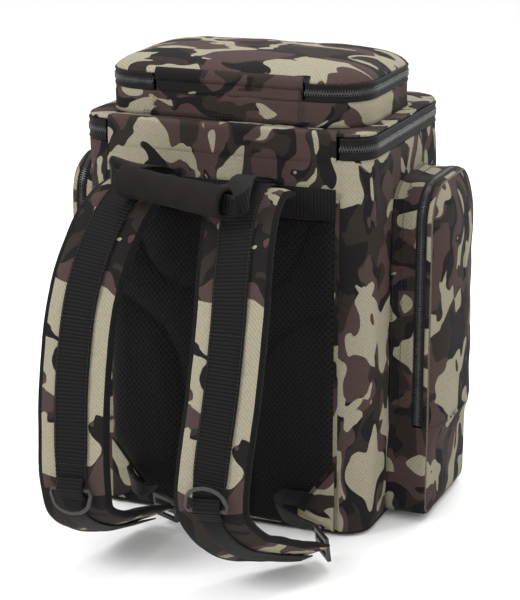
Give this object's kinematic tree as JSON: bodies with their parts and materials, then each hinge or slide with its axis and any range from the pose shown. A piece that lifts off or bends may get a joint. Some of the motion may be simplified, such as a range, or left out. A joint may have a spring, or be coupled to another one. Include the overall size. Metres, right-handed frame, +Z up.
{
  "type": "tackle backpack",
  "caption": "Box-shaped tackle backpack with a zipped lid, a pocket on the lid, side and front pockets, padded shoulder straps, a padded back and a carry handle with a foam grip.",
  "frame": {"origin": "middle of the main compartment's base, where it stands", "axes": "+Z up; -Y towards the side with the shoulder straps, +Y towards the front pocket; +X to the right seen from the straps"},
  "size_m": [0.462, 0.5498, 0.52],
  "materials": {
    "camo_fabric": "woven polyester with a camouflage print",
    "zip_tape": "black zip tape with coil teeth",
    "webbing": "black ribbed webbing",
    "air_mesh": "black air mesh over foam",
    "board": "matt sheet",
    "moulded_plastic": "moulded, satin",
    "foam_grip": "matt foam",
    "slider_metal": "black painted"
  },
  "bodies": {
    "bag": {"main_shell": "camo_fabric", "base_board": "board", "back_stiffener": "board", "back_pad": "air_mesh", "back_top_band": "webbing", "main_zip_lower": "zip_tape", "right_strap_pad": "camo_fabric", "right_strap_webbing": "webbing", "right_d_ring_tab": "webbing", "right_lower_webbing": "webbing", "right_adjuster_webbing": "webbing", "right_anchor_wing": "camo_fabric", "left_strap_pad": "camo_fabric", "left_strap_webbing": "webbing", "left_d_ring_tab": "webbing", "left_lower_webbing": "webbing", "left_adjuster_webbing": "webbing", "left_anchor_wing": "camo_fabric", "right_pocket_shell": "camo_fabric", "right_zip_inner": "zip_tape", "left_pocket_shell": "camo_fabric", "left_zip_inner": "zip_tape", "front_pocket_shell": "camo_fabric", "front_zip_inner": "zip_tape"},
    "lid": {"main_lid": "camo_fabric", "main_zip_upper": "zip_tape", "top_pocket_walls": "camo_fabric", "top_zip_lower": "zip_tape"},
    "top_lid": {"top_pocket_lid": "camo_fabric", "top_zip_upper": "zip_tape"},
    "right_pocket_flap": {"right_flap": "camo_fabric", "right_zip_outer": "zip_tape"},
    "left_pocket_flap": {"left_flap": "camo_fabric", "left_zip_outer": "zip_tape"},
    "front_pocket_flap": {"front_flap": "camo_fabric", "front_zip_outer": "zip_tape"},
    "carry_handle": {"handle_webbing": "webbing", "handle_grip": "foam_grip"},
    "right_ring": {"right_d_ring": "moulded_plastic"},
    "right_lock": {"right_ladder_lock": "moulded_plastic"},
    "left_ring": {"left_d_ring": "moulded_plastic"},
    "left_lock": {"left_ladder_lock": "moulded_plastic"},
    "main_right_slider_body": {"main_right_slider": "slider_metal"},
    "main_right_pull_body": {"main_right_pull": "slider_metal"},
    "main_left_slider_body": {"main_left_slider": "slider_metal"},
    "main_left_pull_body": {"main_left_pull": "slider_metal"},
    "top_right_slider_body": {"top_right_slider": "slider_metal"},
    "top_right_pull_body": {"top_right_pull": "slider_metal"},
    "top_left_slider_body": {"top_left_slider": "slider_metal"},
    "top_left_pull_body": {"top_left_pull": "slider_metal"},
    "right_side_slider_body": {"right_side_slider": "slider_metal"},
    "right_side_pull_body": {"right_side_pull": "slider_metal"},
    "left_side_slider_body": {"left_side_slider": "slider_metal"},
    "left_side_pull_body": {"left_side_pull": "slider_metal"},
    "front_slider_body": {"front_slider": "slider_metal"},
    "front_pull_body": {"front_pull": "slider_metal"}
  },
  "joints": [
    {"name": "lid_hinge", "type": "hinge", "parent": "bag", "child": "lid", "pos_m": [0, -0.134, 0.4484], "axis": [1, 0, 0], "range_deg": [0, 105]},
    {"name": "top_lid_hinge", "type": "hinge", "parent": "lid", "child": "top_lid", "pos_m": [0, -0.1125, 0.4992], "axis": [-1, 0, 0], "range_deg": [-100, 0]},
    {"name": "right_flap_hinge", "type": "hinge", "parent": "bag", "child": "right_pocket_flap", "pos_m": [0.2178, 0.0145, 0.1122], "axis": [0, 1, 0], "range_deg": [0, 90]},
    {"name": "left_flap_hinge", "type": "hinge", "parent": "bag", "child": "left_pocket_flap", "pos_m": [-0.2178, 0.0145, 0.1122], "axis": [0, -1, 0], "range_deg": [0, 90]},
    {"name": "front_flap_hinge", "type": "hinge", "parent": "bag", "child": "front_pocket_flap", "pos_m": [0, 0.1788, 0.1122], "axis": [-1, 0, 0], "range_deg": [0, 90]},
    {"name": "handle_hinge", "type": "hinge", "parent": "bag", "child": "carry_handle", "pos_m": [0, -0.137, 0.3975], "axis": [1, 0, 0], "range_deg": [-60, 0]},
    {"name": "right_ring_hinge", "type": "hinge", "parent": "bag", "child": "right_ring", "pos_m": [0.077, -0.35239, 0.10445], "axis": [0.9968, -0.0039, 0.0801], "range_deg": [0, 165]},
    {"name": "left_ring_hinge", "type": "hinge", "parent": "bag", "child": "left_ring", "pos_m": [-0.077, -0.3524, 0.10471], "axis": [-0.9987, 0.0013, -0.0519], "range_deg": [0, 150]},
    {"name": "right_lock_hinge", "type": "hinge", "parent": "bag", "child": "right_lock", "pos_m": [0.1518, -0.21416, 0.01448], "axis": [-0.6222, 0.7828, 0], "range_deg": [0, 60]},
    {"name": "left_lock_hinge", "type": "hinge", "parent": "bag", "child": "left_lock", "pos_m": [-0.0461, -0.1832, 0.01449], "axis": [-0.9023, 0.4311, 0], "range_deg": [0, 60]},
    {"name": "main_right_slider_run", "type": "slide", "parent": "bag", "child": "main_right_slider_body", "axis": [1, 0, 0], "range_m": [0, 0.105]},
    {"name": "main_right_pull_swing", "type": "hinge", "parent": "main_right_slider_body", "child": "main_right_pull_body", "pos_m": [0.0095, 0.1382, 0.437], "axis": [1, 0, 0], "range_deg": [0, 110]},
    {"name": "main_left_slider_run", "type": "slide", "parent": "bag", "child": "main_left_slider_body", "axis": [-1, 0, 0], "range_m": [0, 0.105]},
    {"name": "main_left_pull_swing", "type": "hinge", "parent": "main_left_slider_body", "child": "main_left_pull_body", "pos_m": [-0.0095, 0.1382, 0.437], "axis": [1, 0, 0], "range_deg": [0, 110]},
    {"name": "top_right_slider_run", "type": "slide", "parent": "lid", "child": "top_right_slider_body", "axis": [1, 0, 0], "range_m": [0, 0.08]},
    {"name": "top_right_pull_swing", "type": "hinge", "parent": "top_right_slider_body", "child": "top_right_pull_body", "pos_m": [0.0095, 0.0897, 0.49], "axis": [1, 0, 0], "range_deg": [0, 110]},
    {"name": "top_left_slider_run", "type": "slide", "parent": "lid", "child": "top_left_slider_body", "axis": [-1, 0, 0], "range_m": [0, 0.08]},
    {"name": "top_left_pull_swing", "type": "hinge", "parent": "top_left_slider_body", "child": "top_left_pull_body", "pos_m": [-0.0095, 0.0897, 0.49], "axis": [1, 0, 0], "range_deg": [0, 110]},
    {"name": "right_side_slider_run", "type": "slide", "parent": "bag", "child": "right_side_slider_body", "axis": [0, 0, 1], "range_m": [0, 0.2]},
    {"name": "right_side_pull_swing", "type": "hinge", "parent": "right_side_slider_body", "child": "right_side_pull_body", "pos_m": [0.205, 0.0952, 0.125], "axis": [1, 0, 0], "range_deg": [0, 110]},
    {"name": "left_side_slider_run", "type": "slide", "parent": "bag", "child": "left_side_slider_body", "axis": [0, 0, 1], "range_m": [0, 0.2]},
    {"name": "left_side_pull_swing", "type": "hinge", "parent": "left_side_slider_body", "child": "left_side_pull_body", "pos_m": [-0.205, 0.0952, 0.125], "axis": [1, 0, 0], "range_deg": [0, 110]},
    {"name": "front_slider_run", "type": "slide", "parent": "bag", "child": "front_slider_body", "axis": [0, 0, 1], "range_m": [0, 0.15]},
    {"name": "front_pull_swing", "type": "hinge", "parent": "front_slider_body", "child": "front_pull_body", "pos_m": [0.1192, 0.166, 0.125], "axis": [0, -1, 0], "range_deg": [0, 110]}
  ]
}
